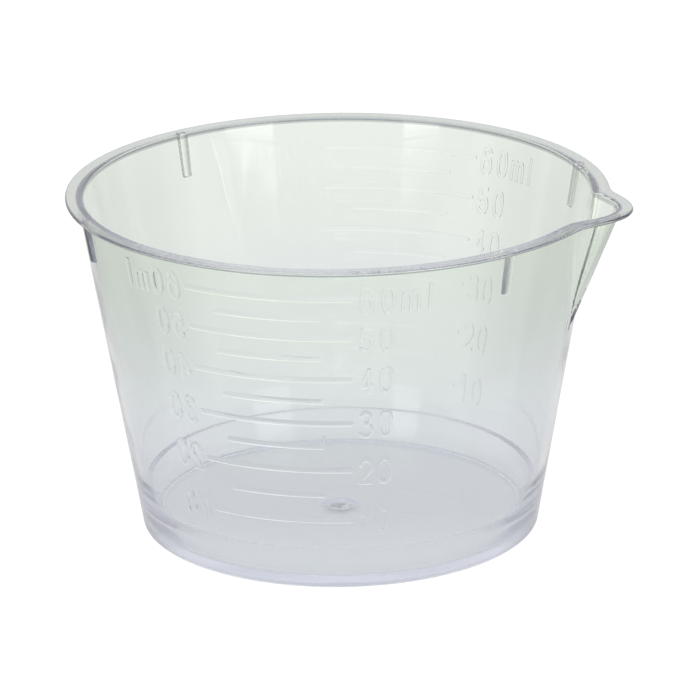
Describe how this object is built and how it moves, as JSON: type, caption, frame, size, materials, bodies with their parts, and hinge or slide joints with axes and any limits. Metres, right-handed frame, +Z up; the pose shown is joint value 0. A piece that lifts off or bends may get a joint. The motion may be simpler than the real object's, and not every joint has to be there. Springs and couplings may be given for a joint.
{
  "type": "medicine cup",
  "caption": "Small clear plastic medicine cup, tapered, with a pouring spout, rim flange, stacking ribs and raised 10 to 60 ml scales.",
  "frame": {"origin": "on the cup's axis, in the plane that the foot ring stands on", "axes": "+Z up along the cup's axis, +X towards the spout, the two scales face -Y and +Y"},
  "size_m": [0.062, 0.0588, 0.0377],
  "materials": {
    "clear_plastic": "clear gloss"
  },
  "bodies": {
    "root": {"cup_body": "clear_plastic", "rim_flange": "clear_plastic", "foot_ring": "clear_plastic", "gate_vestige": "clear_plastic", "stacking_rib_spout_left": "clear_plastic", "stacking_rib_spout_right": "clear_plastic", "stacking_rib_rear_left": "clear_plastic", "stacking_rib_rear_right": "clear_plastic", "graduation_10ml_right": "clear_plastic", "graduation_15ml_right": "clear_plastic", "graduation_20ml_right": "clear_plastic", "graduation_25ml_right": "clear_plastic", "graduation_30ml_right": "clear_plastic", "graduation_35ml_right": "clear_plastic", "graduation_40ml_right": "clear_plastic", "graduation_45ml_right": "clear_plastic", "graduation_50ml_right": "clear_plastic", "graduation_55ml_right": "clear_plastic", "graduation_60ml_right": "clear_plastic", "graduation_10ml_left": "clear_plastic", "graduation_15ml_left": "clear_plastic", "graduation_20ml_left": "clear_plastic", "graduation_25ml_left": "clear_plastic", "graduation_30ml_left": "clear_plastic", "graduation_35ml_left": "clear_plastic", "graduation_40ml_left": "clear_plastic", "graduation_45ml_left": "clear_plastic", "graduation_50ml_left": "clear_plastic", "graduation_55ml_left": "clear_plastic", "graduation_60ml_left": "clear_plastic"}
  },
  "joints": []
}
